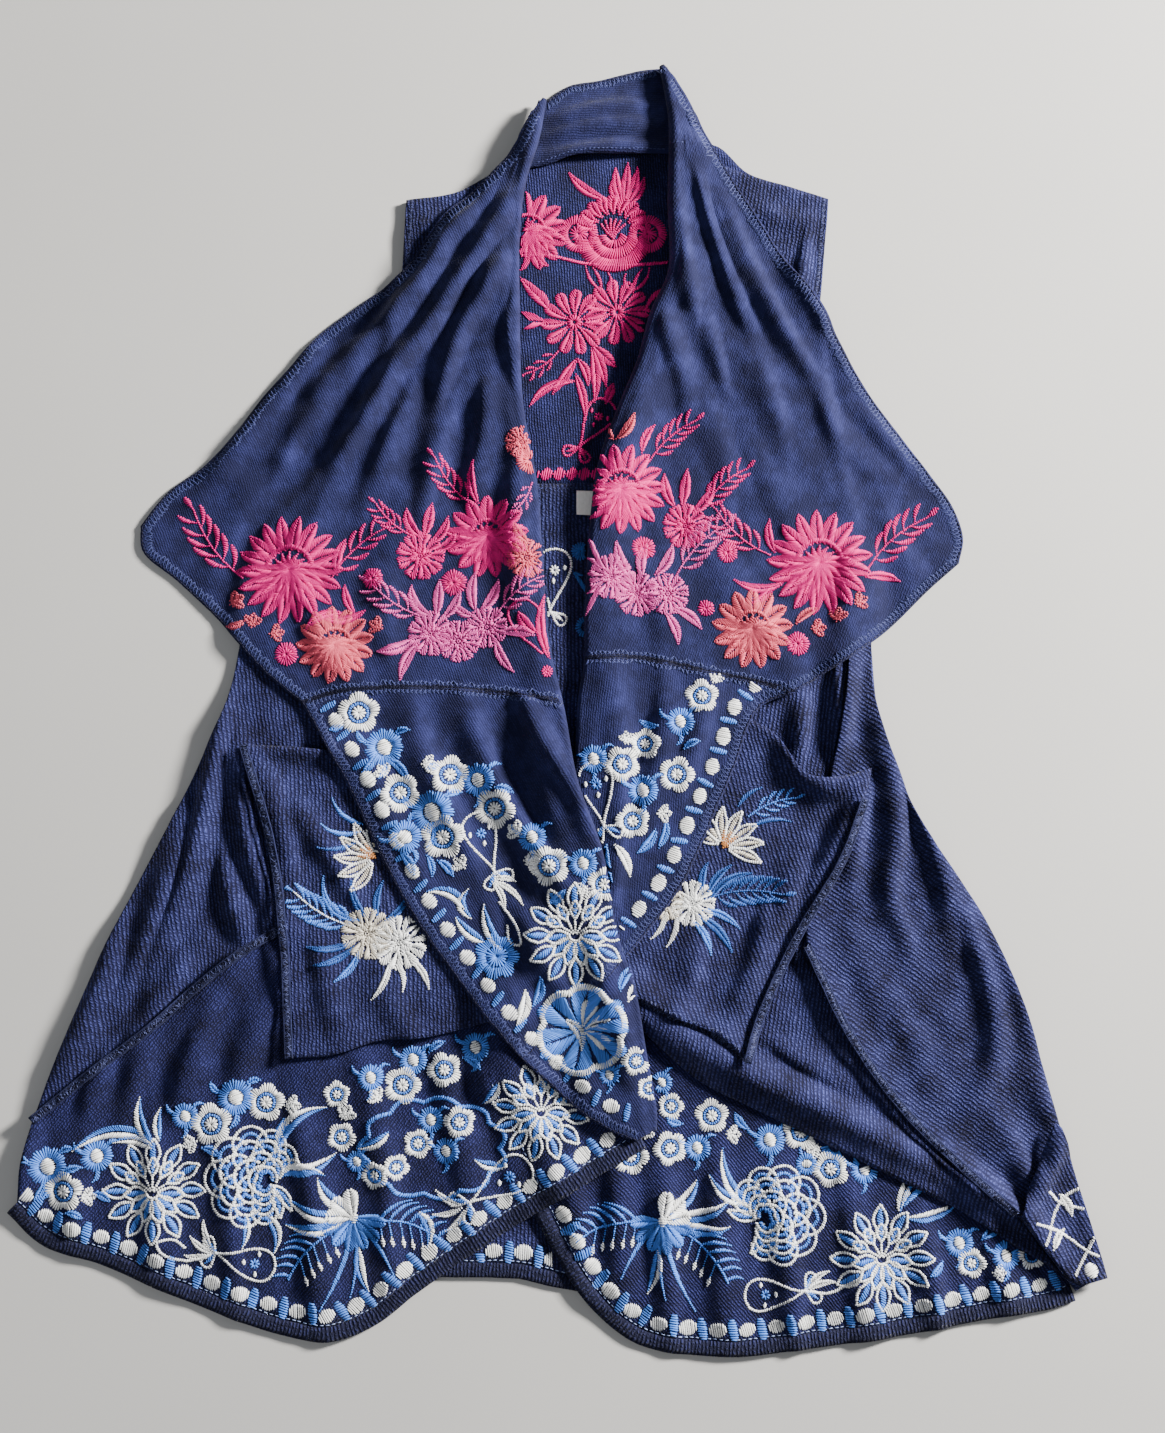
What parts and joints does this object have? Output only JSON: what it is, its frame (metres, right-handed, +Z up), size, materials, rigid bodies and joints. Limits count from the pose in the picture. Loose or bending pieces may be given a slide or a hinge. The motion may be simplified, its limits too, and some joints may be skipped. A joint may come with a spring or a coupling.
{
  "type": "knit vest",
  "caption": "Sleeveless open-front knit vest with wide draped lapels, patch pockets and an embroidered flared hem, laid flat.",
  "frame": {"origin": "on the surface that the vest lies on, below the middle of its outline", "axes": "+X to the right as seen in the picture, +Y up towards the collar, +Z up from the surface"},
  "size_m": [0.8332, 1.0082, 0.0253],
  "materials": {
    "body_knit": "matt twill-faced knit",
    "lapel_jersey": "soft brushed jersey",
    "rib_binding": "matt ribbed knit",
    "raw_edge": "raw curled knit edge",
    "label_cloth": "smooth woven tape",
    "thread": "satin embroidery thread"
  },
  "bodies": {
    "root": {"back_yoke": "body_knit", "back_lower": "body_knit", "binding_back": "rib_binding", "collar_back": "lapel_jersey", "label": "label_cloth", "front_right_body": "body_knit", "front_right_skirt": "body_knit", "side_right": "body_knit", "godet_right": "body_knit", "binding_right": "rib_binding", "pocket_right": "body_knit", "allowance_side_right": "raw_edge", "allowance_pocket_right": "raw_edge", "lapel_right_upper": "lapel_jersey", "lapel_right_lower": "lapel_jersey", "front_left_body": "body_knit", "front_left_skirt": "body_knit", "binding_left": "rib_binding", "pocket_left": "body_knit", "allowance_skirt_left": "raw_edge", "allowance_pocket_left": "raw_edge", "lapel_left_upper": "lapel_jersey", "lapel_left_lower": "lapel_jersey"}
  },
  "joints": []
}
